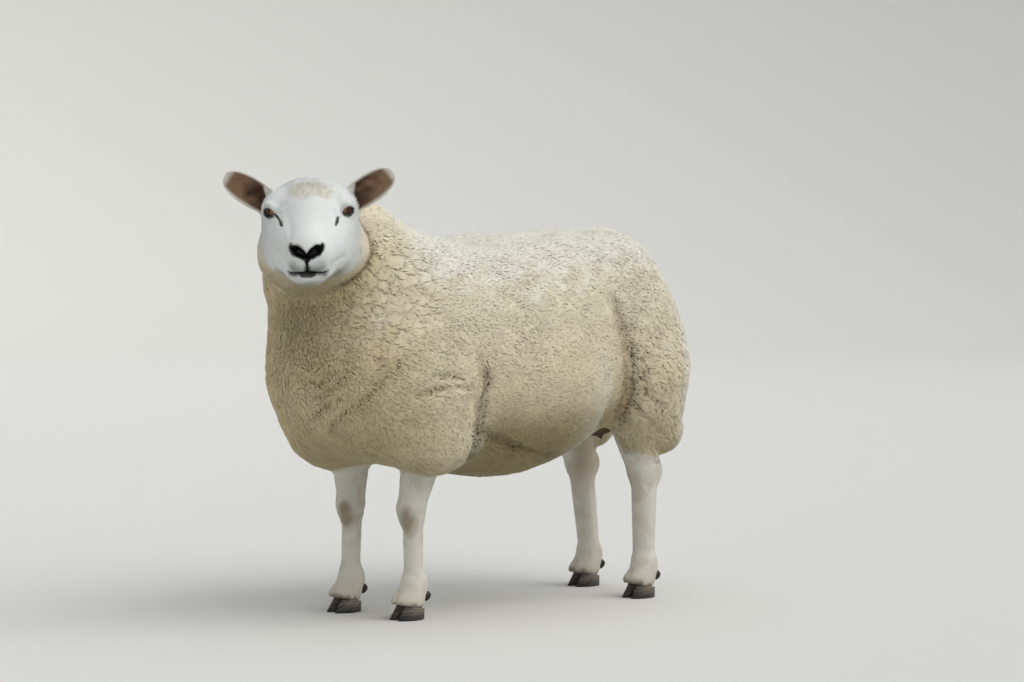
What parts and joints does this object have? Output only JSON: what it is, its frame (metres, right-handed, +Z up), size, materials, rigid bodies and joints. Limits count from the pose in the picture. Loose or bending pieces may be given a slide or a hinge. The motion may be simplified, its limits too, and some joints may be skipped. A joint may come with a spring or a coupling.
{
  "type": "standing sheep",
  "caption": "Standing adult ewe of a short, broad, white-faced meat breed in a short dense fleece, head turned to its left, ears up, on bare white legs.",
  "frame": {"origin": "on the floor, under the middle of the whole animal's box", "axes": "+X to the animal's left, -Y to its front, +Z up"},
  "size_m": [0.4716, 1.0421, 0.8445],
  "materials": {
    "fleece": "short dense wool, cream over tan",
    "hair": "short flat white hair",
    "skin": "bare soft skin",
    "horn": "dull dark slate horn",
    "eye": "wet and clear over an amber-brown iris"
  },
  "bodies": {
    "root": {"trunk": "fleece", "tail": "fleece", "udder": "skin", "neck": "fleece", "eye_left": "eye", "ear_left": "hair", "eye_right": "eye", "ear_right": "hair", "head": "hair", "claw_front_left_outer": "horn", "dewclaw_front_left_outer": "horn", "claw_front_left_inner": "horn", "dewclaw_front_left_inner": "horn", "leg_front_left": "hair", "claw_front_right_outer": "horn", "dewclaw_front_right_outer": "horn", "claw_front_right_inner": "horn", "dewclaw_front_right_inner": "horn", "leg_front_right": "hair", "claw_hind_left_outer": "horn", "dewclaw_hind_left_outer": "horn", "claw_hind_left_inner": "horn", "dewclaw_hind_left_inner": "horn", "leg_hind_left": "hair", "claw_hind_right_outer": "horn", "dewclaw_hind_right_outer": "horn", "claw_hind_right_inner": "horn", "dewclaw_hind_right_inner": "horn", "leg_hind_right": "hair"}
  },
  "joints": []
}
